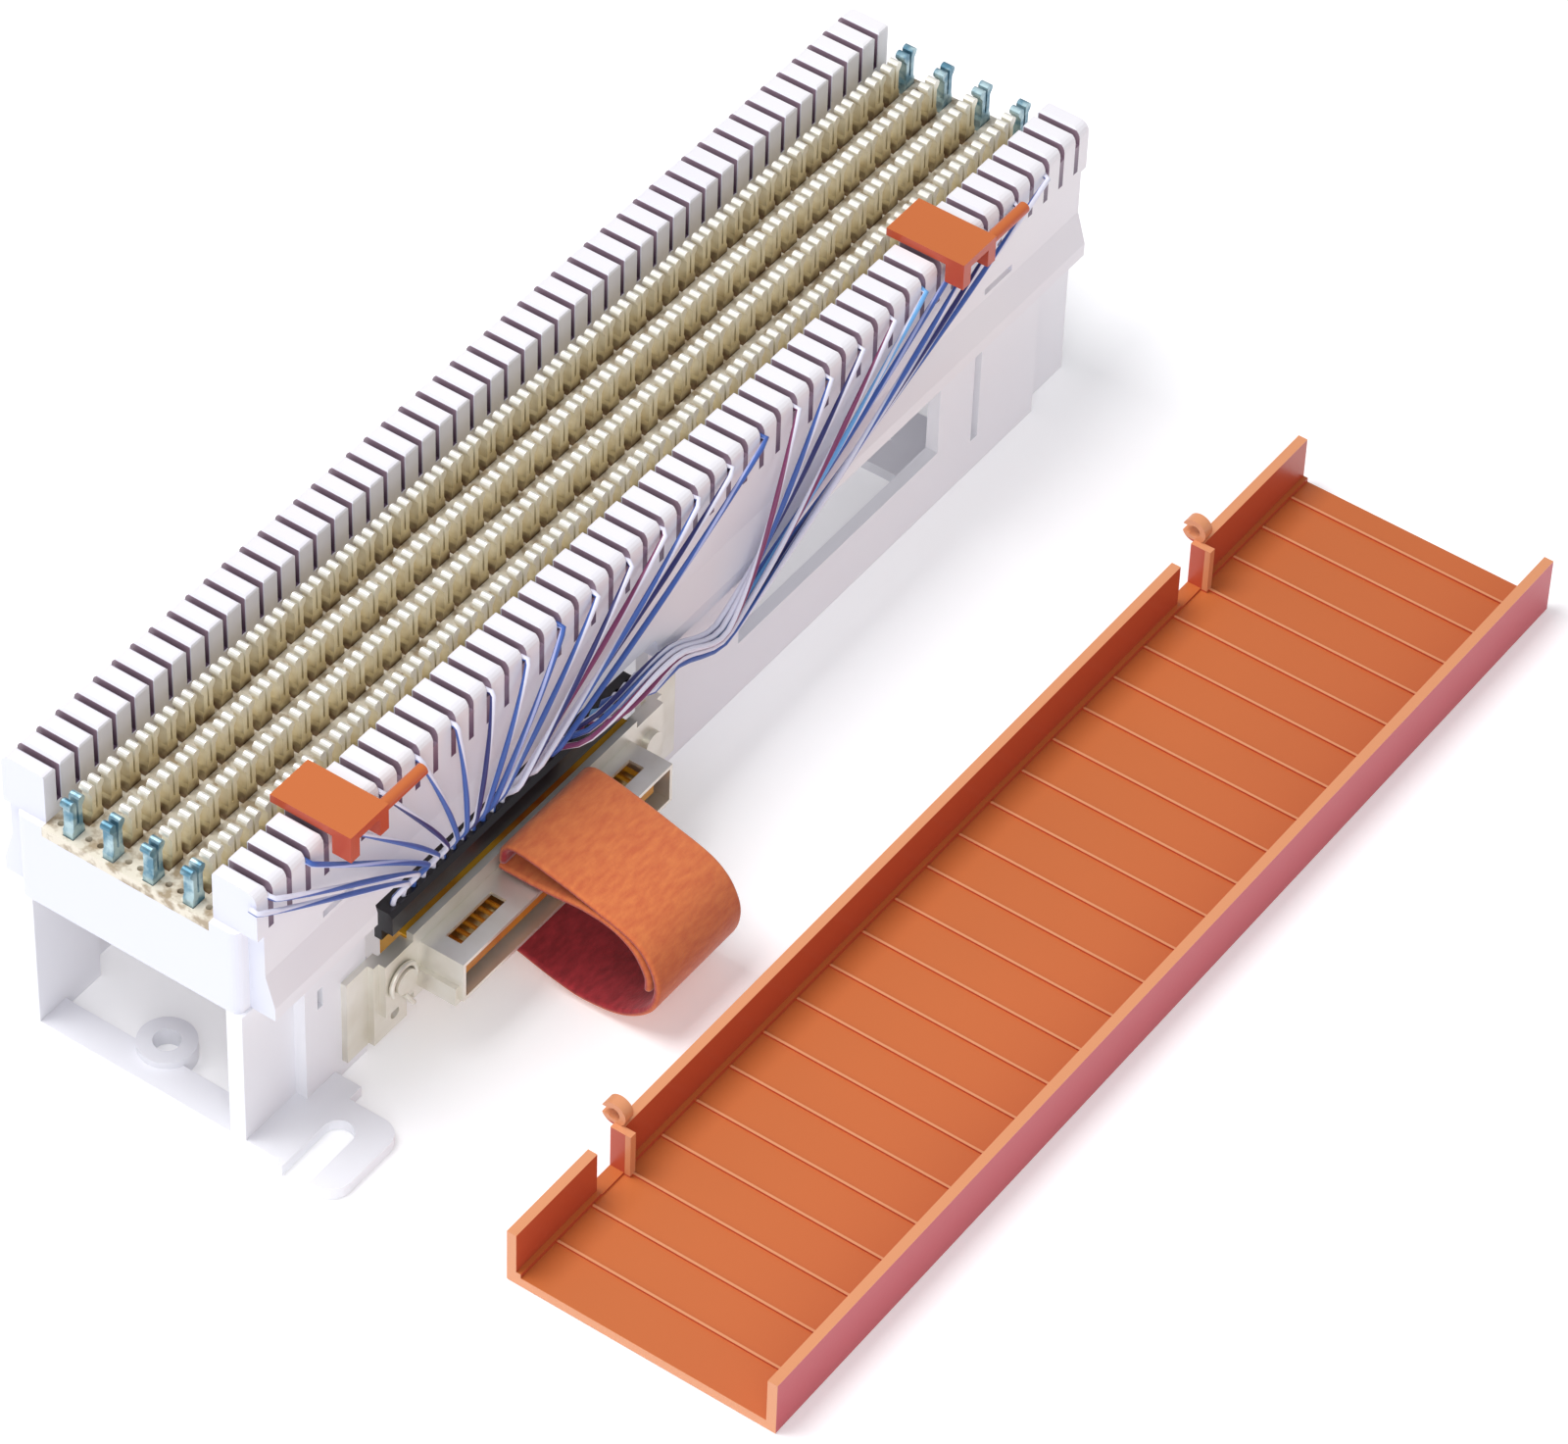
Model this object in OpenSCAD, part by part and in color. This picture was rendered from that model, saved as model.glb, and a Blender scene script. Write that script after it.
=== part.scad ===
// Punch down wiring block on its stand-off bracket, with a 25-pair connector,
// its wires and strap, and the snap-on cover lying open beside it.
// Millimetres. X runs across the block towards the connector, Y along it, Z up.
// The origin is the middle of the bracket's base.

/* [Block] */
// Distance from one row of clips to the next
row_pitch = 5.08; // [5.08:0.01:6.1]
// Number of wire slots in each fanning strip
slots = 49; // [48:2:60]
// Width of the block between its end faces' corners
block_w = 49; // [47:0.5:52]
// Height of the block's closed part, from its lower rim to the clip deck
body_h = 20; // [17:0.5:25]
// Wall of the moulded block
block_wall = 2.6; // [2:0.1:3.4]
// Thickness of the deck that holds the clips
deck_t = 7; // [6:0.5:9]

/* [Fanning strips] */
// Distance from the block's middle to a strip's inner face
strip_in = 18.4; // [17.8:0.1:20]
// Thickness of a strip
strip_t = 9.6; // [8:0.1:11.5]
// Height of a strip above the clip deck
strip_h = 11.2; // [10.5:0.1:13.4]
// Width of a wire slot
slot_w = 1.3; // [1.2:0.05:1.6]
// Depth of a slot on the strip's inner side
slot_deep = 8.5; // [7:0.1:10]
// Depth of a slot on the strip's outer side
slot_shallow = 3.6; // [3:0.1:4.3]
// Thickness of the strip's outer skin, where slots are shallow
strip_skin = 2.8; // [2:0.1:3.4]

/* [Clips] */
// Distance between clip columns
col_pitch = 8.8; // [8.4:0.1:9.4]
// Height of a clip above the deck
clip_h = 9; // [7.5:0.1:10.5]
// Width of a clip along the block
clip_w = 3.2; // [2.7:0.1:3.8]
// Depth of a clip across the block
clip_d = 2.2; // [1.8:0.1:2.6]
// Gap between a clip's two tines
clip_gap = 0.5; // [0.4:0.05:0.6]

/* [Bracket] */
// Height of the bracket
bracket_h = 34; // [30:0.5:41]
// Distance from the middle to the outer face of a side wall
bracket_half = 27.5; // [26.5:0.1:28]
// Thickness of the bracket's walls
bracket_wall = 2.7; // [2.2:0.1:3.2]
// Thickness of floor plates and feet
floor_t = 2.5; // [2:0.1:3]
// Length of the narrower part at each end
end_len = 14; // [10:0.5:17]
// Radius of the screw holes in the end bosses
boss_hole_r = 2.6; // [2:0.1:3]
// Radius of the end bosses
boss_r = 5.6; // [4.5:0.1:6.6]
// Reach of a foot from the bracket's middle
foot_reach = 45.5; // [42:0.5:52]
// Width of a foot's open slot
foot_slot = 6; // [5:0.1:7]

/* [Connector] */
// Middle of the connector along the block
conn_y = -54.5; // [-58:0.5:-52]
// Height of the connector's middle above the base
conn_z = 17.3; // [16:0.1:18.5]
// Distance between the ear holes
ear_span = 73.2; // [72:0.1:76]
// Length of the flange over its ears
flange_len = 82; // [80:0.5:84]
// Length of the mating nose
nose_len = 62; // [60:0.5:64]
// Height of the mating nose
nose_h = 9.4; // [8.6:0.1:10.4]
// How far the nose stands out of the flange
nose_out = 9.5; // [8:0.1:11]
// Number of contacts in each row
contacts = 25; // [20:1:25]
// Distance from one contact to the next
contact_pitch = 2.16; // [2:0.01:2.2]

/* [Wires] */
// Number of wires
wire_count = 25; // [20:1:25]
// Diameter of a wire over its insulation
wire_d = 1.1; // [0.9:0.05:1.15]

/* [Strap] */
// Width of the strap
strap_w = 25; // [20:0.5:30]

/* [Cover] */
// Distance from the block's middle to the cover's near wall
cover_x = 79; // [77:1:100]
// Width of the cover
cover_w = 57; // [50:0.5:68]
// Length of the cover
cover_len = 250; // [220:1:300]
// Height of the cover's walls
cover_h = 12.5; // [11:0.5:15]
// Thickness of the cover
cover_t = 2; // [1.6:0.1:2.4]
// Radius of a hinge pin
pin_r = 1.2; // [1:0.05:1.3]
// Clearance between a hinge pin and its snap ring
pin_clear = 0.15; // [0.1:0.05:0.25]

/* [Hidden] */
$fn = 32;
eps = 0.02;

// Block
block_len = (slots + 1) * row_pitch;
block_z = bracket_h;
deck_z = block_z + body_h;
strip_top = deck_z + strip_h;
strip_out = strip_in + strip_t;
strip_len = block_len - 2.6;
strip_round = 2.2;
end_cap = 3;
body_corner = 2;
skirt_rim = 2;
skirt_rim_z = block_z + 3;
skirt_start_z = block_z + 10;
notch_h = 4.6;
ledge_hole_r = 0.65;
ledge_hole_off = 3.1;
tab_slot_len = 9;
tab_slot_h = 1.6;
tab_slot_z = block_z + 11;

// Clips
clip_foot = 1.2;
head_r = 0.9;
mouth_r = 0.75;
pocket_clear = 0.12;

// Bracket
end_half = 25;
sill_len = 7;
boss_y = 118;
boss_h = 4;
foot_in = 33.3;
foot_len = 18.5;
foot_r = 4;
plate_y = 80;
plate_len = 17;
plate_hole = [10, 88];
window_near = 15.5;
window_far = 80;
window_sill = 13.5;
side_slot_y = 92.6;
side_slot_w = 2.2;
conn_gap = 0.5;

// Connector
flange_x = 30;
flange_t = 1.5;
flange_h = 16.4;
ear_h = 13;
ear_hole_r = 1.7;
shell_t = 0.8;
nose_x = flange_x + flange_t;
tray_out = 1;
tray_h = 4.4;
tongue_h = 3;
tongue_t = contacts * contact_pitch + 2;
rear_x = 24;
rear_h = 14;
rear_len = 66;
cap_x = 25.6;
cap_d = 4.1;
cap_len = 73;
cap_z = conn_z + rear_h / 2;
cap_top = cap_z + 7.7;
cap_lip = 2.6;
entry_x = 28;
entry_pitch = 2.86;
entry_y = conn_y - 34;
entry_r = wire_d / 2 + 0.1;
entry_deep = 1.5;
ear_plate_t = 1.2;

// Hinge
latch_w = 2 * row_pitch + 0.3;
latch_t = 1.8;
latch_in = 16;
latch_out = 33.5;
latch_gap = 0.15;
pin_len = 11;
pin_x = latch_out - pin_r;
ring_r = 2.6;
ring_w = 2.4;
latch_near_y = -20 * row_pitch;
latch_far_y = 16 * row_pitch;
pin_mid = latch_w / 2 + pin_len / 2;

// Wires
slot_wire_z = strip_top - slot_shallow + wire_d / 2 + 0.15;
out_x = strip_out + wire_d / 2 + 0.35;
far_first = 16;
drop_x = strip_out + 3;
drop_z = block_z + 5.2;
bundle_x = out_x + 3;
lane = wire_d + 0.2;
bundle_y = 3;
bundle_z = 29.5;
rise_y = -14;
rise_z = 35.2;

function slot_y(i) = (i - (slots - 1) / 2) * row_pitch;
function circle_points(cx, cy, r, a0, a1, n) =
    [for (k = [0 : n]) let (a = a0 + (a1 - a0) * k / n) [cx + r * cos(a), cy + r * sin(a)]];

// Rectangle in plan with rounded corners, from one corner point to the other
module rounded_plate(a, b, r, h) {
    pts = concat(circle_points(b[0] - r, b[1] - r, r, 0, 90, 5),
                 circle_points(a[0] + r, b[1] - r, r, 90, 180, 5),
                 circle_points(a[0] + r, a[1] + r, r, 180, 270, 5),
                 circle_points(b[0] - r, a[1] + r, r, 270, 360, 5));
    linear_extrude(h) polygon(pts);
}

// Turns a profile drawn in X and Z into a bar along Y, starting at y
module along_y(y, len) {
    translate([0, y + len, 0]) rotate([90, 0, 0]) linear_extrude(len) children();
}

// Turns a profile drawn in Y and Z into a bar along X, starting at x
module along_x(x, len) {
    translate([x, 0, 0]) rotate([90, 0, 90]) linear_extrude(len) children();
}

// Comb outline in Y and Z: a bar with one narrow slot a row, each with a flared mouth
module comb(depth) {
    flare = 0.5;
    low = deck_z - eps;
    top = strip_top;
    w = slot_w / 2;
    teeth = [for (i = [slots - 1 : -1 : 0]) let (y = slot_y(i))
        each [[y + w + flare, top], [y + w, top - flare], [y + w, top - depth],
              [y - w, top - depth], [y - w, top - flare], [y - w - flare, top]]];
    polygon(concat([[-strip_len / 2, low], [strip_len / 2, low], [strip_len / 2, top]],
                   teeth, [[-strip_len / 2, top]]));
}

// One fanning strip on the +X side
module fanning_strip() {
    intersection() {
        union() {
            along_x(strip_in, strip_t - strip_skin + eps) comb(slot_deep);
            along_x(strip_out - strip_skin, strip_skin) comb(slot_shallow);
        }
        along_y(-strip_len / 2, strip_len)
            polygon(concat([[strip_in, deck_z - eps], [strip_out, deck_z - eps]],
                circle_points(strip_out - strip_round, strip_top - strip_round, strip_round, 0, 90, 5),
                circle_points(strip_in + 0.6, strip_top - 0.6, 0.6, 90, 180, 2)));
    }
}

// Side of the block on +X: upright above, flaring to a rim at the bottom
module side_skirt() {
    x0 = block_w / 2 - block_wall;
    along_y(-block_len / 2 + end_cap, block_len - 2 * end_cap)
        polygon([[x0, block_z], [strip_out + skirt_rim, block_z], [strip_out + skirt_rim, skirt_rim_z],
                 [strip_out, skirt_start_z], [strip_out, deck_z], [x0, deck_z]]);
}

// A clip's pocket through the deck, and the two pin holes beside an end clip
module deck_holes() {
    for (side = [-1, 1])
        for (c = [-1.5 : 1 : 1.5])
            for (o = [-1, 1])
                translate([c * col_pitch + o * ledge_hole_off, side * (block_len / 2 - 2.8), deck_z - 2])
                    cylinder(r = ledge_hole_r, h = 3, $fn = 16);
}

module block_body() {
    inner = block_w / 2 - block_wall;
    color("whitesmoke")
    difference() {
        union() {
            translate([0, 0, block_z])
                rounded_plate([-block_w / 2, -block_len / 2], [block_w / 2, block_len / 2],
                              body_corner, body_h);
            for (s = [0, 180]) rotate([0, 0, s]) {
                side_skirt();
                fanning_strip();
            }
        }
        translate([-inner, -block_len / 2 + block_wall, block_z - 1])
            cube([2 * inner, block_len - 2 * block_wall, body_h - deck_t + 1]);
        // Opening in the side for the wire cap and the wires that drop into it
        translate([inner - 1, conn_y - flange_len / 2, block_z - 1])
            cube([20, flange_len, notch_h + 1]);
        clip_pockets();
        deck_holes();
        // Slots in the sides that take the bracket's tabs
        for (s = [0, 180]) rotate([0, 0, s])
            for (y = [-103.5, 97])
                translate([strip_out - 1.2, y - tab_slot_len / 2, tab_slot_z])
                    cube([5, tab_slot_len, tab_slot_h]);
    }
}

// Long channels in the deck, one a column, that the clips' feet stand in
module clip_pockets() {
    w = clip_d / 2 + pocket_clear;
    l = block_len - row_pitch + clip_w + 2 * pocket_clear;
    for (c = [-1.5 : 1 : 1.5])
        translate([c * col_pitch - w, -l / 2, deck_z - clip_foot - pocket_clear])
            cube([2 * w, l, clip_foot + 1]);
}

// Fork outline in Y and Z: two tines with rounded heads over a solid foot
module fork_outline() {
    top = deck_z + clip_h;
    foot = deck_z - clip_foot;
    w = clip_w / 2;
    g = clip_gap / 2;
    neck = deck_z + 2.2;
    half = concat([[w, foot], [w, deck_z + 1.4], [w - 0.35, neck]],
                  [[w - 0.35, top - 2.6]],
                  circle_points(g + head_r, top - head_r - 0.3, head_r, -30, 150, 6),
                  [[g, top - 2.2], [g, neck + 0.4]]);
    polygon(concat(half, [for (k = [len(half) - 1 : -1 : 0]) [-half[k][0], half[k][1]]]));
}

// Fifty clips of one pair of columns; each joins two forks
module clips(side) {
    color("silver")
    for (i = [0 : slots])
        translate([0, (i - slots / 2) * row_pitch, 0])
            for (c = [0.5, 1.5])
                along_x(side * c * col_pitch - clip_d / 2, clip_d) fork_outline();
}

module clips_left() { clips(-1); }
module clips_right() { clips(1); }

// One end of the bracket, at -Y: narrow end walls, sill, boss, foot and floor plate
module bracket_end() {
    y_end = -block_len / 2;
    wall_in = end_half - 3.5;
    for (s = [-1, 1])
        translate([s > 0 ? wall_in : -end_half, y_end, 0])
            cube([end_half - wall_in, end_len + bracket_wall, bracket_h]);
    for (s = [-1, 1])
        translate([s > 0 ? wall_in : -bracket_half, y_end + end_len, 0])
            cube([bracket_half - wall_in, bracket_wall, bracket_h]);
    translate([-end_half, y_end, 0]) cube([2 * end_half, sill_len, floor_t]);
    translate([0, -boss_y, 0]) cylinder(r = boss_r, h = boss_h);
    translate([-bracket_half, -plate_y - plate_len, 0]) cube([2 * bracket_half, plate_len, floor_t]);
    // Foot with a slot open to the end
    translate([end_half - 1, y_end, 0]) cube([foot_in - end_half + 1, 22, floor_t]);
    difference() {
        rounded_plate([foot_in - 5, y_end - 1], [foot_reach, y_end + foot_len], foot_r, floor_t);
        translate([foot_in - 6, y_end - 2, -1]) cube([5.5, foot_len + 4, 5]);
    }
}

module bracket() {
    y_end = -block_len / 2;
    color("whitesmoke")
    difference() {
        union() {
            for (s = [0, 180]) rotate([0, 0, s]) {
                bracket_end();
                translate([bracket_half - bracket_wall, y_end + end_len, 0])
                    cube([bracket_wall, block_len - 2 * end_len, bracket_h]);
            }
        }
        for (s = [0, 180]) rotate([0, 0, s]) {
            translate([0, -boss_y, -1]) cylinder(r = boss_hole_r, h = boss_h + 2);
            translate([-plate_hole[0], -plate_hole[1], -1]) cylinder(r = 2, h = floor_t + 2);
            // Foot slot: round at its inner end
            translate([foot_in + 3.4, y_end + foot_len - 4.5 - foot_slot / 2, -1])
                cylinder(r = foot_slot / 2, h = floor_t + 2);
            translate([foot_in + 3.4 - foot_slot / 2, y_end - 2, -1])
                cube([foot_slot, foot_len - 2.5 - foot_slot / 2, floor_t + 2]);
            // Cable window with a rail under it
            translate([20, window_near, window_sill])
                cube([10, window_far - window_near, bracket_h]);
            // Upright slot beside the window
            translate([20, side_slot_y - side_slot_w / 2, 8]) cube([10, side_slot_w, 25.5]);
        }
        // The rear side has a second cable window, the front side one for the connector
        translate([-30, window_near, window_sill])
            cube([10, window_far - window_near, bracket_h]);
        translate([20, conn_y - flange_len / 2 - conn_gap, -1])
            cube([12, flange_len + 2 * conn_gap, bracket_h + 2]);
        // Small upright slot near the front foot
        translate([20, y_end + 17.5, 22.6]) cube([10, 1.5, 4.7]);
    }
}

// Hinge latch: a plate over two strip teeth, hooks outside, and the cover's pin
module latch(y) {
    z = strip_top + latch_gap;
    translate([0, y, 0]) {
        translate([latch_in, -latch_w / 2, z]) cube([latch_out - latch_in, latch_w, latch_t]);
        for (s = [-1, 1])
            translate([strip_out + 1.4, s > 0 ? latch_w / 2 - 2.4 : -latch_w / 2, z - 4.2])
                cube([latch_out - strip_out - 1.4, 2.4, 4.2 + eps]);
        translate([pin_x, latch_w / 2 - 2, z + latch_t - pin_r])
            rotate([-90, 0, 0]) cylinder(r = pin_r, h = pin_len + 2);
    }
}

module latch_near() { color("orangered") latch(latch_near_y); }
module latch_far() { color("orangered") latch(latch_far_y); }

// Snap ring of the cover: a ring open to the outside, on the wall's edge
module snap_ring(y) {
    translate([cover_x - 0.3, y, cover_h + ring_r - 0.6])
        rotate([-90, 0, 0]) translate([0, 0, -ring_w / 2])
            difference() {
                cylinder(r = ring_r, h = ring_w);
                translate([0, 0, -1]) cylinder(r = pin_r + pin_clear, h = ring_w + 2);
                translate([-ring_r - 1, -0.85, -1]) cube([ring_r + 1, 1.7, ring_w + 2]);
            }
}

module cover() {
    y0 = -123;
    rib_w = 0.5;
    ledge = 1;
    notch = 6.5;
    color("orangered")
    difference() {
        union() {
            translate([cover_x, y0, 0]) cube([cover_w, cover_len, cover_t]);
            for (x = [cover_x, cover_x + cover_w - cover_t])
                translate([x, y0, 0]) cube([cover_t, cover_len, cover_h]);
            translate([cover_x + cover_t - eps, y0, cover_t - eps]) cube([ledge, cover_len, ledge]);
            for (y = [y0 + 2 * row_pitch : 2 * row_pitch : y0 + cover_len - row_pitch])
                translate([cover_x + cover_t, y, cover_t - eps])
                    cube([cover_w - 2 * cover_t, rib_w, rib_w]);
            for (y = [latch_near_y, latch_far_y]) snap_ring(y + pin_mid);
            for (y = [latch_near_y, latch_far_y])
                translate([cover_x + cover_t - eps, y + pin_mid - ring_w / 2 - 1.2, 0])
                    cube([2.4, 1.5, cover_h]);
        }
        for (y = [latch_near_y, latch_far_y])
            translate([cover_x - 1, y + pin_mid - ring_w / 2 - 1.2 - notch, cover_t + 0.5])
                cube([cover_t + ledge + 1.5, notch, cover_h]);
    }
}

module connector_shell() {
    color("lightgray")
    difference() {
        union() {
            translate([flange_x, conn_y - flange_len / 2, conn_z - ear_h / 2])
                cube([flange_t, flange_len, ear_h]);
            translate([flange_x, conn_y - rear_len / 2, conn_z - flange_h / 2])
                cube([flange_t, rear_len, flange_h]);
            translate([nose_x - eps, conn_y - nose_len / 2, conn_z - nose_h / 2])
                cube([nose_out, nose_len, nose_h]);
            translate([nose_x - eps, conn_y - nose_len / 2 - tray_out, conn_z - nose_h / 2 - 1])
                cube([nose_out - 1, nose_len + 2 * tray_out, tray_h]);
        }
        translate([flange_x - 1, conn_y - nose_len / 2 + shell_t, conn_z - nose_h / 2 + shell_t])
            cube([nose_out + 5, nose_len - 2 * shell_t, nose_h - 2 * shell_t]);
        for (s = [-1, 1])
            translate([flange_x - 1, conn_y + s * ear_span / 2, conn_z])
                rotate([0, 90, 0]) cylinder(r = ear_hole_r, h = 4);
        for (s = [-1, 1])
            translate([nose_x + 2.6, conn_y + s * 20.5 - 6.6, conn_z])
                cube([3.4, 13.2, 10]);
    }
}

module connector_insulator() {
    color("darkorange") {
        translate([rear_x, conn_y - rear_len / 2, conn_z - rear_h / 2])
            cube([flange_x - rear_x, rear_len, rear_h]);
        translate([flange_x - eps, conn_y - tongue_t / 2, conn_z - tongue_h / 2])
            cube([nose_out - 0.5, tongue_t, tongue_h]);
    }
}

// A row of spring contacts lying on the tongue; side is 1 above it and -1 below
module contact_row(side) {
    w = 1.1;
    t = 0.5;
    for (k = [0 : contacts - 1])
        translate([flange_x + 0.2, conn_y + (k - (contacts - 1) / 2) * contact_pitch - w / 2,
                   side > 0 ? conn_z + tongue_h / 2 : conn_z - tongue_h / 2 - t])
            cube([nose_out - 1.2, w, t]);
}

module contacts_upper() { color("silver") contact_row(1); }
module contacts_lower() { color("silver") contact_row(-1); }

// Black bar on the connector's back with a hole for each wire
module wire_cap() {
    color("black")
    difference() {
        along_y(conn_y - cap_len / 2, cap_len)
            polygon([[cap_x, cap_z], [cap_x + 1.6, cap_z], [cap_x + 1.6, cap_z + cap_lip],
                     [cap_x + cap_d, cap_z + cap_lip], [cap_x + cap_d, cap_top - 0.8],
                     [cap_x + cap_d - 0.8, cap_top], [cap_x, cap_top]]);
        for (i = [0 : wire_count - 1])
            translate([entry_x, entry_y + i * entry_pitch, cap_top - entry_deep])
                cylinder(r = entry_r, h = 3, $fn = 16);
    }
}

// Stepped steel plate that carries one ear; s is -1 at the near end and 1 at the far end
module ear_bracket(s) {
    y_wall = conn_y + s * (flange_len / 2 + conn_gap);
    y_ear = conn_y + s * ear_span / 2;
    lo = conn_z - ear_h / 2 - 7;
    h = ear_h + 7;
    color("gainsboro")
    difference() {
        union() {
            translate([bracket_half, min(y_wall - 2 * s, y_wall + 7 * s), lo])
                cube([ear_plate_t + eps, 9, h]);
            translate([bracket_half + ear_plate_t, min(y_ear - 3.4 * s, y_wall + 1 * s), lo])
                cube([flange_x - bracket_half - ear_plate_t, abs(y_wall - y_ear) + 4.4, h]);
        }
        translate([bracket_half - 1, y_ear, conn_z]) rotate([0, 90, 0]) cylinder(r = ear_hole_r, h = 5);
        translate([bracket_half - 1, y_ear, conn_z - ear_h / 2 - 3.4])
            rotate([0, 90, 0]) cylinder(r = 1.2, h = 5);
    }
}

module ear_bracket_near() { ear_bracket(-1); }
module ear_bracket_far() { ear_bracket(1); }

// Pan-head screws through the ears
module ear_screws() {
    color("silver")
    for (s = [-1, 1])
        translate([nose_x, conn_y + s * ear_span / 2, conn_z]) rotate([0, 90, 0]) {
            cylinder(r = 2.6, h = 1.4);
            translate([0, 0, -4.5]) cylinder(r = ear_hole_r - 0.2, h = 4.6);
        }
}

// Sprung wire hooked round the near screw, its tail hanging down
module bail_wire() {
    r = 0.5;
    ring = 3.4;
    x = nose_x + r + 0.1;
    color("silver")
    translate([x, conn_y - ear_span / 2, conn_z]) {
        rotate([0, 90, 0]) rotate_extrude(angle = 300) translate([ring, 0]) circle(r = r, $fn = 16);
        translate([0, 0, -ring]) rotate([30, 0, 0]) translate([0, 0, -5.5]) cylinder(r = r, h = 5.5, $fn = 16);
    }
}

// Hook-and-loop strap: a doubled band with a pocket by the nose and a wide loop outside
module strap() {
    color("tomato")
    along_y(conn_y + 3 - strap_w / 2, strap_w)
    difference() {
        polygon([[32, 25.9], [32.6, 29.2], [35.2, 30.7], [44.7, 29.2], [53.5, 26.9], [61.8, 24.3],
                 [66, 20.5], [68.3, 14], [66.5, 7], [60, 2], [51, 0.6], [44.8, 1.4], [37, 3.6], [32, 5],
                 [32, 6.8], [37.5, 5.4], [45, 3.2], [51, 2.4], [58.5, 4], [63.5, 8.5], [65, 14.5],
                 [62.5, 20.5], [58, 23.4], [50, 23.9], [44.7, 23.3], [40, 22.9], [32, 22.9]]);
        polygon([[33.6, 25], [34, 28], [35.5, 29.1], [44.5, 27.6], [52, 25.4], [45, 24.6], [40, 24.3]]);
    }
}

function wire_slot_y(i) = i == 0 ? -block_len / 2 + 1.1 - wire_d / 2 : slot_y(2 * (i - 1));
function entry(i) = entry_y + i * entry_pitch;

// Route of wire i, from its slot to its hole in the cap
function near_route(i) = let (y = wire_slot_y(i), x = drop_x + (i > 10 && i % 2 == 1 ? lane : 0))
    [[strip_out - (i == 0 ? 0.8 : 2), y, slot_wire_z], [out_x, y, slot_wire_z - 0.1],
     [x, entry(i), drop_z], [entry_x, entry(i), cap_top + 1.6], [entry_x, entry(i), cap_top - 1.3]];
function far_route(i) = let (y = wire_slot_y(i), n = wire_count - 1 - i,
                             x = bundle_x + lane * (n % 3), up = lane * floor(n / 3))
    [[strip_out - 2, y, slot_wire_z], [out_x, y, slot_wire_z - 0.1], [x, bundle_y, bundle_z + up],
     [x, rise_y, rise_z + up], [x, entry(i) + 2.5, rise_z + up],
     [entry_x, entry(i), cap_top + 1.2], [entry_x, entry(i), cap_top - 1.3]];
function route(i) = i < far_first ? near_route(i) : far_route(i);

function unit(v) = v / norm(v);

// Round tube swept along a list of points
module tube(p, r) {
    n = 8;
    last = len(p) - 1;
    rings = [for (k = [0 : last])
        let (a = k == 0 ? unit(p[1] - p[0]) : unit(p[k] - p[k - 1]),
             b = k == last ? a : unit(p[k + 1] - p[k]),
             t = unit(a + b),
             u = unit(cross(t, abs(t[2]) > 0.9 ? [0, 1, 0] : [0, 0, 1])),
             v = cross(t, u))
        for (j = [0 : n - 1]) p[k] + r * (cos(j * 360 / n) * u + sin(j * 360 / n) * v)];
    sides = [for (k = [0 : last - 1]) for (j = [0 : n - 1])
        let (a = k * n + j, b = k * n + (j + 1) % n) each [[a, b, b + n], [a, b + n, a + n]]];
    polyhedron(rings, concat([[for (j = [n - 1 : -1 : 0]) j]], sides, [[for (j = [0 : n - 1]) last * n + j]]));
}

// Five wires of one group
module wires(group) {
    per = wire_count / 5;
    color("lavender")
    for (i = [(group - 1) * per : group * per - 1]) tube(route(i), wire_d / 2);
}

module wires_1() { wires(1); }
module wires_2() { wires(2); }
module wires_3() { wires(3); }
module wires_4() { wires(4); }
module wires_5() { wires(5); }

block_body();
clips_left();
clips_right();
bracket();
latch_near();
latch_far();
cover();
connector_shell();
connector_insulator();
contacts_upper();
contacts_lower();
wire_cap();
ear_bracket_near();
ear_bracket_far();
ear_screws();
bail_wire();
strap();
wires_1();
wires_2();
wires_3();
wires_4();
wires_5();
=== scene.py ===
import bpy
import numpy as np
from mathutils import Matrix


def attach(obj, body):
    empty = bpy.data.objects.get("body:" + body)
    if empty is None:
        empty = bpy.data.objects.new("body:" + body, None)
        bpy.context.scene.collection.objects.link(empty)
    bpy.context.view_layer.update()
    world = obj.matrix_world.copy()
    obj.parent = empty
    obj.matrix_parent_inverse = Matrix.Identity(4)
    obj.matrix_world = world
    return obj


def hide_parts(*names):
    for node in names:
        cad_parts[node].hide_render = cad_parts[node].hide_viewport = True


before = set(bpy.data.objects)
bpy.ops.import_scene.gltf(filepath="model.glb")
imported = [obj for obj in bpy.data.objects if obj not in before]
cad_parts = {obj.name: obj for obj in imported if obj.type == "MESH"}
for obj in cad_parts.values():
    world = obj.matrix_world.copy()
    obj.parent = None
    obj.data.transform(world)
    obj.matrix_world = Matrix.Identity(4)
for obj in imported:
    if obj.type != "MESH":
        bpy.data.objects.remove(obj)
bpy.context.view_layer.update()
scene = bpy.context.scene

# Camera: stands off the connector side at the near end, looking down at about
# 45 degrees through a long lens, with a slight roll.
camera_data = bpy.data.cameras.new("camera")
camera_data.sensor_fit = "HORIZONTAL"
camera_data.sensor_width = 36.0
camera_data.lens = 167.81
camera_data.clip_end = 20.0
camera = bpy.data.objects.new("camera", camera_data)
scene.collection.objects.link(camera)
camera_azimuth, camera_elevation, camera_roll = np.radians([34.027, 45.370, -2.293])
forward = np.array([
    -np.sin(camera_azimuth) * np.cos(camera_elevation),
    np.cos(camera_azimuth) * np.cos(camera_elevation),
    -np.sin(camera_elevation),
])
level = np.array([np.cos(camera_azimuth), np.sin(camera_azimuth), 0.0])
right = np.cos(camera_roll) * level + np.sin(camera_roll) * np.cross(forward, level)
up = np.cross(right, forward)
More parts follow.
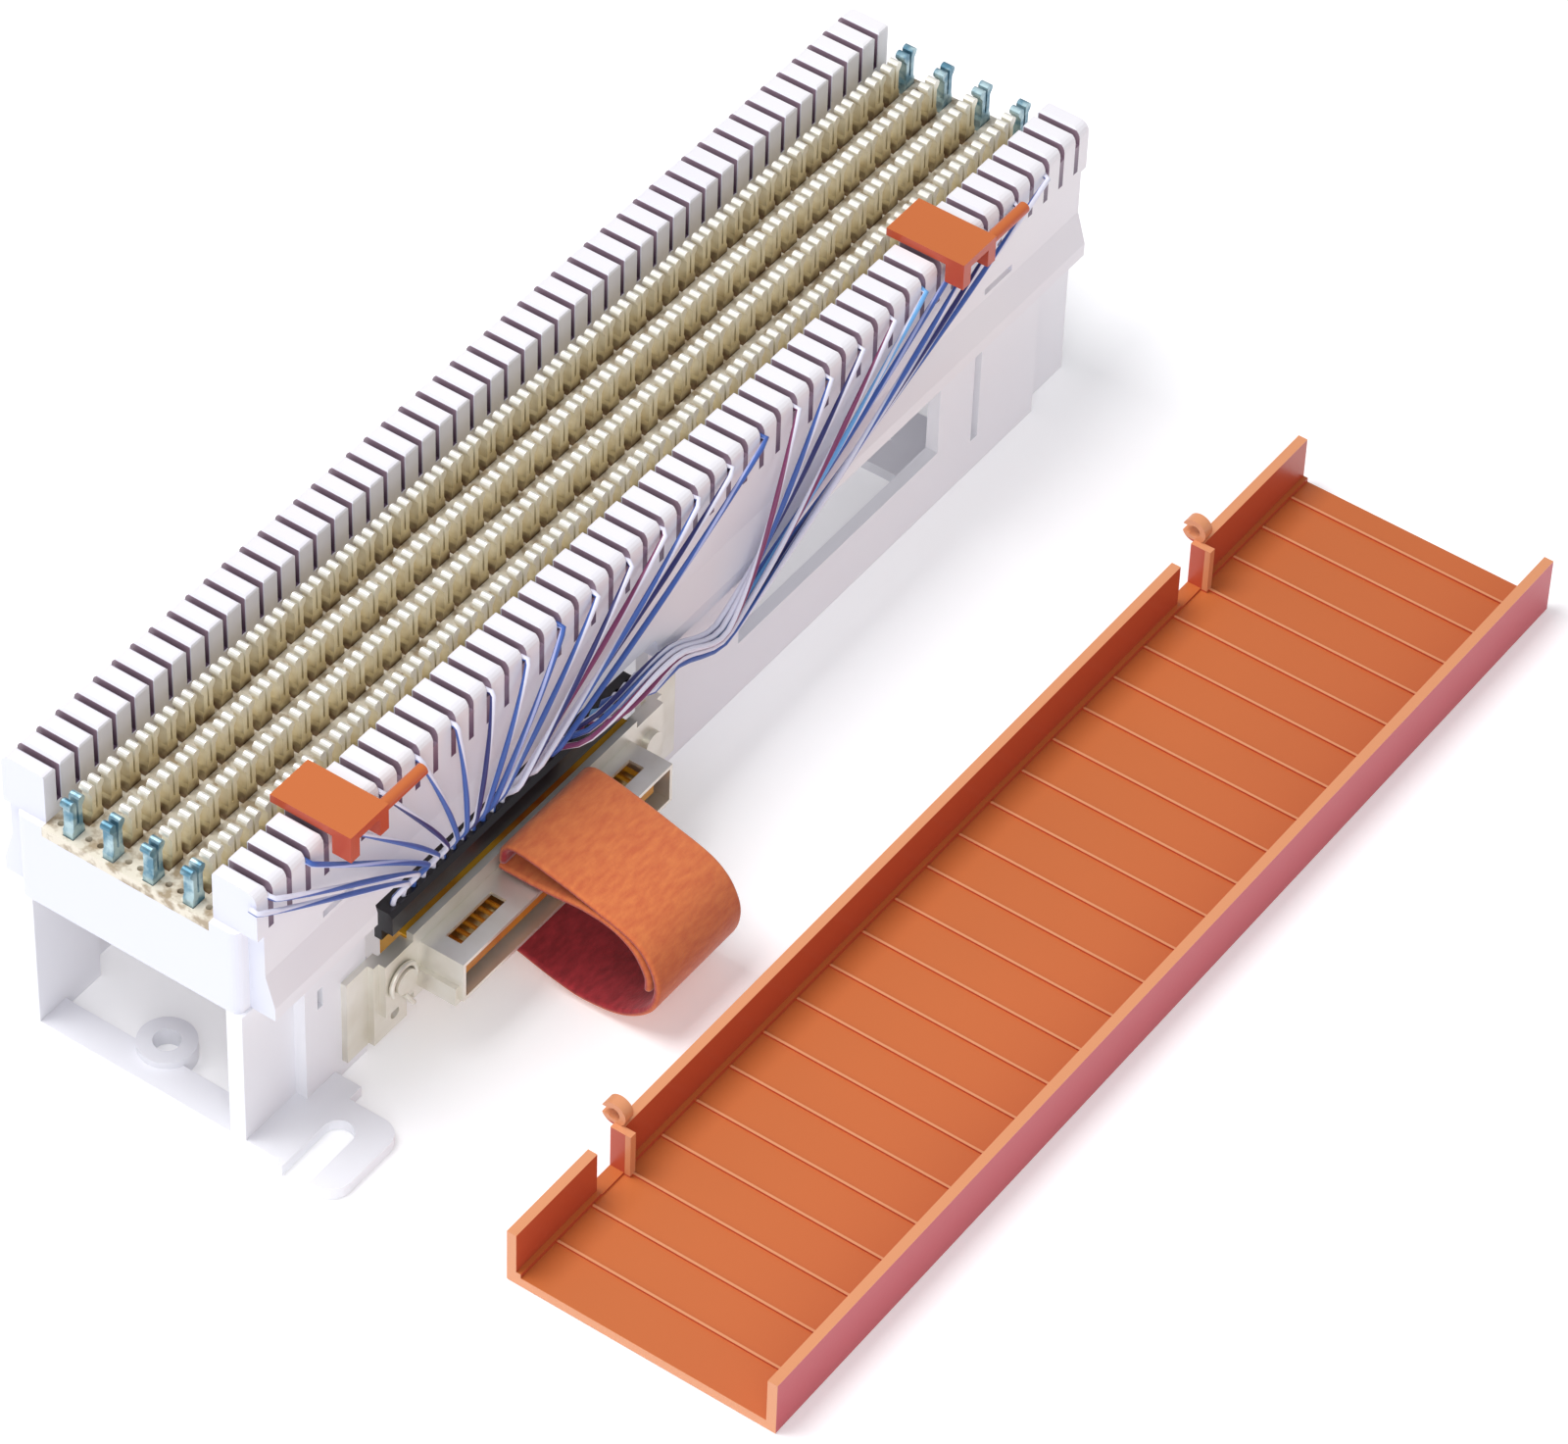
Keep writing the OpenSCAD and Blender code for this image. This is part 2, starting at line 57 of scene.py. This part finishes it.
turn = Matrix(np.column_stack([right, up, -forward]).tolist()).to_4x4()
camera.matrix_world = Matrix.Translation((0.57136, -0.77379, 0.96438)) @ turn
scene.camera = camera

# Wires: twenty-five single copper wires in coloured plastic insulation. Each leaves
# a slot of the right-hand strip and drops into its own hole in the black cap; the
# far ones gather into a bundle that sags below the block's rim on the way.
MM = 0.001
WIRE_RADIUS = 0.55 * MM
ROW = 5.08
WIRES = 25
FIRST_IN_BUNDLE = 16
MIDDLE_SLOT = 24
END_SLOT_Y = -126.45
FIRST_HOLE_Y, HOLE_PITCH = -88.5, 2.86
BUNDLE_STEP = 1.3
CURVE_EASE = 0.95


def wire_corners(i):
    """Corner points of wire i's route in millimetres, from its slot to its hole."""
    slot = END_SLOT_Y if i == 0 else (2 * (i - 1) - MIDDLE_SLOT) * ROW
    hole = FIRST_HOLE_Y + HOLE_PITCH * i
    start = [[27.2 if i == 0 else 26.0, slot, 62.3], [28.9, slot, 62.2]]
    end = [[28.0, hole, 33.2], [28.0, hole, 30.7]]
    if i < FIRST_IN_BUNDLE:
        out = 31.0 + (BUNDLE_STEP if i > 10 and i % 2 == 1 else 0.0)
        return start + [[out, hole, 39.2]] + end
    place = WIRES - 1 - i
    x = 31.9 + BUNDLE_STEP * (place % 3)
    up = BUNDLE_STEP * (place // 3)
    lane = [[x, 3.0, 29.5 + up], [x, -14.0, 35.2 + up], [x, hole + 2.5, 35.2 + up]]
    return start + lane + end


def smooth_route(corners, count=36):
    """Corners joined by cubic curves. At each corner the curve runs parallel to the line between
    that corner's two neighbours, with a slope a fixed share of each step's length."""
    p = np.array(corners, float)
    slope = np.empty_like(p)
    slope[1:-1] = (p[2:] - p[:-2]) / 2
    slope[0], slope[-1] = p[1] - p[0], p[-1] - p[-2]
    step = np.linalg.norm(np.diff(p, axis=0), axis=1)
    at = np.concatenate([[0], np.cumsum(step)])
    s = np.linspace(0, at[-1], count)
    k = np.clip(np.searchsorted(at, s, "right") - 1, 0, len(p) - 2)
    t = ((s - at[k]) / step[k])[:, None]
    a, b = p[k], p[k + 1]
    limit = step[k][:, None]
    ma = slope[k] / np.linalg.norm(slope[k], axis=1)[:, None] * limit * CURVE_EASE
    mb = slope[k + 1] / np.linalg.norm(slope[k + 1], axis=1)[:, None] * limit * CURVE_EASE
    return ((2 * t**3 - 3 * t**2 + 1) * a + (t**3 - 2 * t**2 + t) * ma
            + (3 * t**2 - 2 * t**3) * b + (t**3 - t**2) * mb)


def link_mesh(name, points, faces, corner_uv):
    """Mesh object at the origin from points, faces and a UV for each face corner, smooth shaded."""
    mesh = bpy.data.meshes.new(name)
    mesh.from_pydata(np.asarray(points).tolist(), [], [list(f) for f in faces])
    mesh.shade_smooth()
    layer = mesh.uv_layers.new(name="surface")
    layer.data.foreach_set("uv", np.asarray(corner_uv, float).ravel())
    piece = bpy.data.objects.new(name, mesh)
    scene.collection.objects.link(piece)
    return piece


def carry(name, path, spoke, section):
    """Closed solid: a section's (a, b) points carried along a path, a along the path's spoke and b
    square to both. UVs give the metres along the path and the share of the way round."""
    path, section = np.asarray(path, float), np.asarray(section, float)
    along = np.gradient(path, axis=0)
    along /= np.linalg.norm(along, axis=1)[:, None]
    other = np.cross(along, spoke)
    points = (path[:, None] + spoke[:, None] * section[None, :, :1]
              + other[:, None] * section[None, :, 1:]).reshape(-1, 3)
    n = len(section)
    k = np.arange(len(path) - 1)[:, None] * n
    j = np.arange(n)[None, :]
    m = (j + 1) % n
    quads = np.stack([k + j, k + m, k + m + n, k + j + n], axis=-1).reshape(-1, 4)
    caps = [list(range(n))[::-1], [(len(path) - 1) * n + c for c in range(n)]]
    length = np.concatenate([[0], np.cumsum(np.linalg.norm(np.diff(path, axis=0), axis=1))])
    u0, v0 = np.meshgrid(length[:-1], np.arange(n) / n, indexing="ij")
    u1, v1 = np.meshgrid(length[1:], (np.arange(n) + 1) / n, indexing="ij")
    uv = np.stack([np.stack([u0, v0], -1), np.stack([u0, v1], -1),
                   np.stack([u1, v1], -1), np.stack([u1, v0], -1)], axis=2).reshape(-1, 2)
    ends = np.concatenate([np.full((n, 2), [length[0], 0.0]), np.full((n, 2), [length[-1], 0.0])])
    return link_mesh(name, points, quads.tolist() + caps, np.concatenate([uv, ends]))


def tube(name, path, radius, sides=10):
    """Round tube: a circle carried along the path, its spoke turned as little as possible."""
    path = np.asarray(path, float)
    along = np.gradient(path, axis=0)
    along /= np.linalg.norm(along, axis=1)[:, None]
    steep = np.abs(along[:, 2:3]) > 0.9
    spoke = np.cross(along, np.where(steep, [[0.0, 1.0, 0.0]], [[0.0, 0.0, 1.0]]))
    spoke /= np.linalg.norm(spoke, axis=1)[:, None]
    for k in range(1, len(spoke)):
        carried = spoke[k - 1] - along[k] * np.dot(spoke[k - 1], along[k])
        spoke[k] = carried / np.linalg.norm(carried)
    angle = np.arange(sides) * 2 * np.pi / sides
    return carry(name, path, spoke, radius * np.column_stack([np.cos(angle), np.sin(angle)]))


def material(name, color, roughness, metallic=0.0, coat=0.0):
    """Principled material, given back with its node tree and its shader."""
    made = bpy.data.materials.new(name)
    made.use_nodes = True
    shader = made.node_tree.nodes["Principled BSDF"]
    shader.inputs["Base Color"].default_value = (*color, 1.0)
    shader.inputs["Roughness"].default_value = roughness
    shader.inputs["Metallic"].default_value = metallic
    shader.inputs["Coat Weight"].default_value = coat
    return made, made.node_tree, shader


def noise(tree, scale, detail=3.0, stretch=(1.0, 1.0, 1.0)):
    """Noise on the piece's own coordinates, stretched along its axes."""
    place = tree.nodes.new("ShaderNodeTexCoord")
    mapping = tree.nodes.new("ShaderNodeMapping")
    mapping.inputs["Scale"].default_value = stretch
    tree.links.new(place.outputs["Object"], mapping.inputs["Vector"])
    texture = tree.nodes.new("ShaderNodeTexNoise")
    texture.inputs["Scale"].default_value = scale
    texture.inputs["Detail"].default_value = detail
    tree.links.new(mapping.outputs["Vector"], texture.inputs["Vector"])
    return texture.outputs["Fac"]


def ramp(tree, value, stops):
    """Colour ramp over a value, from (place, colour) stops."""
    node = tree.nodes.new("ShaderNodeValToRGB")
    elements = node.color_ramp.elements
    while len(elements) < len(stops):
        elements.new(0.5)
    for element, (at, color) in zip(elements, stops):
        element.position = at
        element.color = (*color, 1.0)
    tree.links.new(value, node.inputs["Fac"])
    return node.outputs["Color"]


def sums(tree, operation, first, second=0.0, third=None):
    """Math node over sockets or plain numbers."""
    node = tree.nodes.new("ShaderNodeMath")
    node.operation = operation
    for place, value in enumerate((first, second, third)):
        if isinstance(value, (int, float)):
            node.inputs[place].default_value = value
        elif value is not None:
            tree.links.new(value, node.inputs[place])
    return node.outputs[0]


def blend_colors(tree, share, first, second):
    """First colour where share is 0 and second where it is 1; each a socket or a plain colour."""
    node = tree.nodes.new("ShaderNodeMix")
    node.data_type = "RGBA"
    tree.links.new(share, node.inputs[0])
    for place, value in ((6, first), (7, second)):
        if isinstance(value, tuple):
            node.inputs[place].default_value = (*value, 1.0)
        else:
            tree.links.new(value, node.inputs[place])
    return node.outputs[2]


def place_of(tree):
    """X, Y and Z sockets of the piece's own coordinates in metres."""
    place = tree.nodes.new("ShaderNodeTexCoord")
    split = tree.nodes.new("ShaderNodeSeparateXYZ")
    tree.links.new(place.outputs["Object"], split.inputs["Vector"])
    return split.outputs["X"], split.outputs["Y"], split.outputs["Z"]


def facing(tree, axis):
    """How far the surface faces along +X, +Y or +Z, from -1 to 1."""
    geometry = tree.nodes.new("ShaderNodeNewGeometry")
    split = tree.nodes.new("ShaderNodeSeparateXYZ")
    tree.links.new(geometry.outputs["Normal"], split.inputs["Vector"])
    return split.outputs[axis]


def bump(tree, shader, height, strength, distance):
    """Bump from a height value into the shader's normal."""
    node = tree.nodes.new("ShaderNodeBump")
    node.inputs["Strength"].default_value = strength
    node.inputs["Distance"].default_value = distance
    tree.links.new(height, node.inputs["Height"])
    tree.links.new(node.outputs["Normal"], shader.inputs["Normal"])


STRIPE_TURN = 70 * MM


def wire_material(name, ground, stripe, width):
    """Insulation of one colour with one stripe, a share of the way round wide, slowly winding."""
    made, tree, shader = material(name, ground, 0.42, coat=0.1)
    place = tree.nodes.new("ShaderNodeUVMap")
    place.uv_map = "surface"
    split = tree.nodes.new("ShaderNodeSeparateXYZ")
    tree.links.new(place.outputs["UV"], split.inputs["Vector"])
    wound = sums(tree, "MULTIPLY_ADD", split.outputs["X"], 1 / STRIPE_TURN, split.outputs["Y"])
    turn = sums(tree, "FRACT", wound)
    band = ramp(tree, turn, [(0.0, stripe), (width, stripe), (width + 0.05, ground), (0.96, ground),
                             (1.0, stripe)])
    tree.links.new(band, shader.inputs["Base Color"])
    bump(tree, shader, noise(tree, 900.0), 0.08, 0.0002)
    return made


WHITE, BLUE, NAVY = (0.80, 0.80, 0.93), (0.05, 0.12, 0.42), (0.025, 0.03, 0.16)
SKY, PLUM = (0.16, 0.42, 0.80), (0.22, 0.04, 0.13)
insulation = [
    wire_material("insulation_white_blue", WHITE, BLUE, 0.36),
    wire_material("insulation_blue_white", BLUE, (0.45, 0.50, 0.82), 0.12),
    wire_material("insulation_white_navy", WHITE, NAVY, 0.30),
    wire_material("insulation_white_plum", WHITE, PLUM, 0.32),
    wire_material("insulation_sky_white", SKY, WHITE, 0.12),
]
wire_finish = [0, 0, 1, 0, 2, 0, 0, 2, 0, 1, 0, 2, 3, 0, 2, 1, 3, 0, 2, 3, 4, 1, 0, 2, 0]
for i in range(WIRES):
    route = smooth_route(wire_corners(i)) * MM
    piece = tube(f"wire_{i + 1:02d}", route, WIRE_RADIUS)
    piece.data.materials.append(insulation[wire_finish[i]])
    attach(piece, "root")
    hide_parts(f"wires_{i // 5 + 1}")

# Block body: one white moulding in flame-proof thermoplastic, slightly glossy, with
# faint flow marks. The walls of the wire slots carry painted shade, darkest low down, and
# faces that look along the block's length carry a lavender painted shade; the deck between
# the strips is mottled brown and beige.
DECK_Z, STRIP_TOP, STRIP_IN = 0.053, 0.0652, 0.0184
SLOT_HALF = 0.7
FILLET = 0.002
DECK_SKIN = 0.0012
SLOT_SHADE_HEIGHT = 0.0125
white, tree, shader = material("white_thermoplastic", (0.86, 0.855, 0.88), 0.38, coat=0.08)
x, y, z = place_of(tree)
tone = ramp(tree, noise(tree, 14.0), [(0.3, (0.82, 0.80, 0.86)), (0.7, (0.88, 0.865, 0.885))])
# Painted shade: the walls of the wire slots are masked here and painted dark violet-brown low down,
# lighter higher up.
row_share = sums(tree, "PINGPONG", sums(tree, "DIVIDE", y, ROW * MM), 0.5)
across = sums(tree, "ABSOLUTE", x)
low = sums(tree, "LESS_THAN", z, STRIP_TOP - 0.0004)
above_deck = sums(tree, "GREATER_THAN", z, DECK_Z + FILLET)
in_row = sums(tree, "LESS_THAN", row_share, SLOT_HALF / ROW)
in_strip = sums(tree, "GREATER_THAN", across, STRIP_IN + 0.0002)
in_height = sums(tree, "MULTIPLY", low, above_deck)
painted_slot_shade_mask = sums(tree, "MULTIPLY", in_height, sums(tree, "MULTIPLY", in_row, in_strip))
over_deck = sums(tree, "SUBTRACT", z, DECK_Z)
painted_slot_shade = ramp(tree, sums(tree, "MULTIPLY", over_deck, 1 / SLOT_SHADE_HEIGHT),
                 [(0.2, (0.10, 0.055, 0.11)), (0.95, (0.34, 0.24, 0.30))])
deck_top = sums(tree, "LESS_THAN", sums(tree, "ABSOLUTE", over_deck), DECK_SKIN)
deck_mask = sums(tree, "MULTIPLY", deck_top, sums(tree, "LESS_THAN", across, STRIP_IN))
deck_tone = ramp(tree, noise(tree, 420.0), [(0.38, (0.42, 0.33, 0.22)), (0.55, (0.80, 0.74, 0.62))])
# Painted shade: faces that look along ±Y, such as the end faces, are tinted lavender.
end_face_painted_shade = sums(tree, "MULTIPLY", sums(tree, "ABSOLUTE", facing(tree, "Y")), 0.75)
tone = blend_colors(tree, end_face_painted_shade, tone, (0.74, 0.77, 0.90))
tone = blend_colors(tree, deck_mask, tone, deck_tone)
tone = blend_colors(tree, painted_slot_shade_mask, tone, painted_slot_shade)
tree.links.new(tone, shader.inputs["Base Color"])
bump(tree, shader, noise(tree, 700.0), 0.05, 0.0002)


def finish_nodes(made, *names):
    """Gives CAD nodes one material in every slot."""
    for name in names:
        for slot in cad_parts[name].material_slots:
            slot.material = made


finish_nodes(white, "block_body")

# Clips: tin-plated spring metal, stamped as two-tined forks and pressed into the deck;
# painted shade darkens each clip from pale at the tip to dark brown at the foot, and the
# end rows are blue-green.
CLIP_SHADE_PER_METRE = 110.0
END_ROW_Y = 0.1221
tin, tree, shader = material("tinned_clip_metal", (0.80, 0.74, 0.58), 0.36, metallic=0.55)
_, y, z = place_of(tree)
# Painted shade: the colour runs from dark brown at the clip feet, down among the clips, to pale at
# the tips.
height = sums(tree, "MULTIPLY", sums(tree, "SUBTRACT", z, DECK_Z), CLIP_SHADE_PER_METRE)
mottle = sums(tree, "MULTIPLY_ADD", noise(tree, 420.0), 0.5, -0.25)
tone = ramp(tree, sums(tree, "ADD", height, mottle),
            [(0.05, (0.20, 0.12, 0.06)), (0.35, (0.66, 0.56, 0.33)), (0.75, (0.88, 0.83, 0.66)),
             (1.0, (0.92, 0.90, 0.82))])
end_row = sums(tree, "GREATER_THAN", sums(tree, "ABSOLUTE", y), END_ROW_Y)
end_tone = ramp(tree, noise(tree, 300.0), [(0.4, (0.10, 0.24, 0.33)), (0.6, (0.46, 0.62, 0.66))])
tree.links.new(blend_colors(tree, end_row, tone, end_tone), shader.inputs["Base Color"])
bump(tree, shader, noise(tree, 1500.0, stretch=(1.0, 1.0, 0.1)), 0.1, 0.0001)
finish_nodes(tin, "clips_left", "clips_right")

# Bracket: the same white plastic, a second moulding open at both ends and underneath.
# The block body stands on its walls.
frame_white, tree, shader = material("white_bracket_plastic", (0.85, 0.85, 0.89), 0.42, coat=0.05)
tone = ramp(tree, noise(tree, 10.0), [(0.3, (0.83, 0.83, 0.88)), (0.7, (0.87, 0.87, 0.90))])
tree.links.new(tone, shader.inputs["Base Color"])
bump(tree, shader, noise(tree, 700.0), 0.05, 0.0002)
finish_nodes(frame_white, "bracket")

# Latches and cover: orange moulded polypropylene with a satin skin; walls and the cover's
# outer side are painted redder and darker as painted shade, and ribs and rims are painted
# paler as painted highlights.
COVER_X, COVER_W, COVER_H, COVER_T = 0.079, 0.057, 0.0125, 0.002
COVER_NEAR_Y = -0.123
HAIR = 0.0001


def orange_material(name, flat, wall_shade):
    """Satin orange: flat faces one tone and walls a redder painted shade, by how far the surface
    faces up or down.
    """
    made, tree, shader = material(name, flat, 0.36, coat=0.08)
    up = sums(tree, "ABSOLUTE", facing(tree, "Z"))
    tone = ramp(tree, noise(tree, 12.0), [(0.3, tuple(0.92 * c for c in flat)), (0.7, flat)])
    # Painted shade: faces that do not face up or down take the darker, redder wall colour.
    tone = blend_colors(tree, up, wall_shade, tone)
    bump(tree, shader, noise(tree, 900.0), 0.06, 0.0002)
    return made, tree, shader, tone


# The wall colour is painted shade and the pale colour a painted highlight.
FLAT_ORANGE, SHADED_WALL_ORANGE, HIGHLIGHT_ORANGE = (0.58, 0.150, 0.036), (0.52, 0.075, 0.03), (0.72, 0.30, 0.14)
latch_orange, tree, shader, tone = orange_material("orange_latch_plastic", FLAT_ORANGE, SHADED_WALL_ORANGE)
tree.links.new(tone, shader.inputs["Base Color"])
finish_nodes(latch_orange, "latch_near", "latch_far")
cover_orange, tree, shader, tone = orange_material("orange_polypropylene", FLAT_ORANGE, SHADED_WALL_ORANGE)
x, y, z = place_of(tree)
redder = sums(tree, "MULTIPLY_ADD", sums(tree, "SUBTRACT", x, COVER_X), 6.0,
              sums(tree, "MULTIPLY", noise(tree, 9.0), 0.25))
redder = ramp(tree, redder, [(0.15, (0, 0, 0)), (0.6, (0.3, 0.3, 0.3))])
tone = blend_colors(tree, redder, tone, (0.62, 0.10, 0.04))
# Painted shade: the cover's outer side wall is painted dark crimson.
outer_side_shade = sums(tree, "GREATER_THAN", x, COVER_X + COVER_W - HAIR)
tone = blend_colors(tree, outer_side_shade, tone, (0.50, 0.045, 0.065))
# Painted highlights: rib tops, the top rim and the near rim are painted pale orange.
rib_top = sums(tree, "GREATER_THAN", z, COVER_T + 0.0004)
inside = sums(tree, "MULTIPLY", sums(tree, "GREATER_THAN", x, COVER_X + COVER_T + 0.0012),
              sums(tree, "LESS_THAN", x, COVER_X + COVER_W - COVER_T - 0.0002))
rim_highlight = sums(tree, "GREATER_THAN", z, COVER_H - HAIR)
near_rim_highlight = sums(tree, "LESS_THAN", y, COVER_NEAR_Y + HAIR)
rib_highlight = sums(tree, "MULTIPLY", rib_top, inside)
painted_highlight_mask = sums(tree, "MAXIMUM", rib_highlight, sums(tree, "MAXIMUM", rim_highlight, near_rim_highlight))
tree.links.new(blend_colors(tree, painted_highlight_mask, tone, HIGHLIGHT_ORANGE), shader.inputs["Base Color"])
finish_nodes(cover_orange, "cover")

# Connector: a nickel-plated steel shell over an amber insulator, gold-flashed contacts
# and a black moulded wire cap. Its ear plates, screws and wire are plated like the shell.
nickel, tree, shader = material("nickel_plate", (0.80, 0.77, 0.69), 0.34, metallic=0.6)
tone = ramp(tree, noise(tree, 90.0), [(0.3, (0.72, 0.68, 0.58)), (0.7, (0.86, 0.84, 0.77))])
tree.links.new(tone, shader.inputs["Base Color"])
bump(tree, shader, noise(tree, 1200.0, stretch=(1.0, 0.1, 1.0)), 0.08, 0.0001)
finish_nodes(nickel, "connector_shell", "ear_bracket_near", "ear_bracket_far",
             "ear_screws", "bail_wire")
amber, tree, shader = material("amber_insulator_resin", (0.70, 0.30, 0.02), 0.4, coat=0.05)
tone = ramp(tree, noise(tree, 60.0), [(0.35, (0.46, 0.10, 0.01)), (0.6, (0.86, 0.45, 0.03))])
tree.links.new(tone, shader.inputs["Base Color"])
finish_nodes(amber, "connector_insulator")
gold, tree, shader = material("contact_gold_flash", (0.75, 0.55, 0.25), 0.28, metallic=1.0)
bump(tree, shader, noise(tree, 1500.0), 0.05, 0.0001)
finish_nodes(gold, "contacts_upper", "contacts_lower")
black, tree, shader = material("black_cap_plastic", (0.012, 0.010, 0.012), 0.3, coat=0.15)
bump(tree, shader, noise(tree, 900.0), 0.08, 0.0002)
finish_nodes(black, "wire_cap")

# Strap: orange hook-and-loop tape, a brushed loop face outside; the hook face inside is painted
# dark crimson as painted shade. It is folded back on itself over the connector's nose and sewn at the
# lap.
STRAP_WIDTH, STRAP_THICK = 25 * MM, 1.5 * MM
STRAP_MIDDLE = -51.5 * MM


def tape_section(width, thick, count=9):
    """Flat section with half-round edges: two straight faces joined by half circles."""
    angle = np.linspace(-np.pi / 2, np.pi / 2, count)
    half = (width - thick) / 2
    right_edge = np.column_stack([half + thick / 2 * np.cos(angle), thick / 2 * np.sin(angle)])
    return np.concatenate([right_edge, -right_edge])


def tape_band(name, corners):
    """Tape carried along a smooth loop in X and Z, its width along Y; 'outer' is 1 on the outside."""
    lane = np.array([[cx, STRAP_MIDDLE / MM, cz] for cx, cz in corners])
    path = smooth_route(lane, 90) * MM
    spoke = np.tile([0.0, 1.0, 0.0], (len(path), 1))
    section = tape_section(STRAP_WIDTH, STRAP_THICK)
    piece = carry(name, path, spoke, section)
    side = piece.data.attributes.new("outer", "FLOAT", "POINT")
    outward = np.tile(0.5 + section[:, 1] / STRAP_THICK, len(path))
    side.data.foreach_set("value", outward.astype(np.float32))
    return piece


tape, tree, shader = material("orange_loop_tape", (0.60, 0.17, 0.05), 0.85)
shader.inputs["Sheen Weight"].default_value = 0.25
outer = tree.nodes.new("ShaderNodeAttribute")
outer.attribute_name = "outer"
weave = noise(tree, 900.0, stretch=(1.0, 0.35, 1.0))
face = ramp(tree, weave, [(0.3, (0.56, 0.12, 0.035)), (0.7, (0.66, 0.185, 0.05))])
# Painted shade: the tape's inside face is painted dark crimson.
back = ramp(tree, weave, [(0.3, (0.24, 0.008, 0.014)), (0.7, (0.40, 0.02, 0.03))])
turned = ramp(tree, outer.outputs["Fac"], [(0.35, (0, 0, 0)), (0.75, (1, 1, 1))])
tree.links.new(blend_colors(tree, turned, back, face), shader.inputs["Base Color"])
bump(tree, shader, noise(tree, 1600.0), 0.35, 0.0003)
outer_lane = [(32.9, 24.9), (33.3, 28.2), (35.6, 29.8), (44.6, 28.3), (53.3, 26.0), (61.3, 23.4),
              (65.2, 19.9), (67.2, 14.1), (65.5, 7.8), (59.6, 3.1), (51.0, 1.6), (44.9, 2.4),
              (37.2, 4.5), (32.4, 5.9)]
inner_lane = [(32.4, 23.6), (40.0, 23.6), (44.8, 23.9), (51.0, 24.4), (57.4, 23.5), (62.0, 20.7),
              (64.9, 15.9), (65.1, 12.6)]
for name, lane in (("strap_outer_layer", outer_lane), ("strap_inner_layer", inner_lane)):
    band = tape_band(name, lane)
    band.data.materials.append(tape)
    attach(band, "root")
    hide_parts("strap")

# Floor and light: a plain white floor under two large soft lamps and a dim pale sky,
# with a little light of the floor's own so that it stays white around the shadow.
FLOOR_HALF = 3
FLOOR_DROP = 0.0002
floor_mesh = bpy.data.meshes.new("floor")
floor_corners = [(-FLOOR_HALF, -FLOOR_HALF, 0), (FLOOR_HALF, -FLOOR_HALF, 0),
                 (FLOOR_HALF, FLOOR_HALF, 0), (-FLOOR_HALF, FLOOR_HALF, 0)]
floor_mesh.from_pydata(floor_corners, [], [(0, 1, 2, 3)])
floor = bpy.data.objects.new("floor", floor_mesh)
scene.collection.objects.link(floor)
floor.location = (0.0, 0.0, -FLOOR_DROP)
paper, tree, shader = material("white_paper", (0.92, 0.92, 0.93), 0.9)
shader.inputs["Emission Color"].default_value = (1.0, 1.0, 1.0, 1.0)
shader.inputs["Emission Strength"].default_value = 0.22
floor_mesh.materials.append(paper)
world = bpy.data.worlds.new("studio")
world.use_nodes = True
world.node_tree.nodes["Background"].inputs["Color"].default_value = (0.95, 0.95, 1.0, 1.0)
world.node_tree.nodes["Background"].inputs["Strength"].default_value = 0.42
scene.world = world


def lamp(name, place, target, size, power):
    """Square soft lamp at a place, facing a target."""
    data = bpy.data.lights.new(name, "AREA")
    data.size = size
    data.energy = power
    made = bpy.data.objects.new(name, data)
    scene.collection.objects.link(made)
    z = np.array(place, float) - np.array(target, float)
    z /= np.linalg.norm(z)
    x = np.cross([0.0, 1.0, 0.0], z)
    x /= np.linalg.norm(x)
    turned = Matrix(np.column_stack([x, np.cross(z, x), z]).tolist()).to_4x4()
    made.matrix_world = Matrix.Translation(place) @ turned


lamp("key", (-0.5, -0.4, 1.6), (0.04, 0.0, 0.03), 0.9, 22.0)
lamp("fill", (0.9, -1.2, 0.9), (0.04, 0.0, 0.03), 1.2, 9.0)

scene.view_settings.view_transform = "Standard"
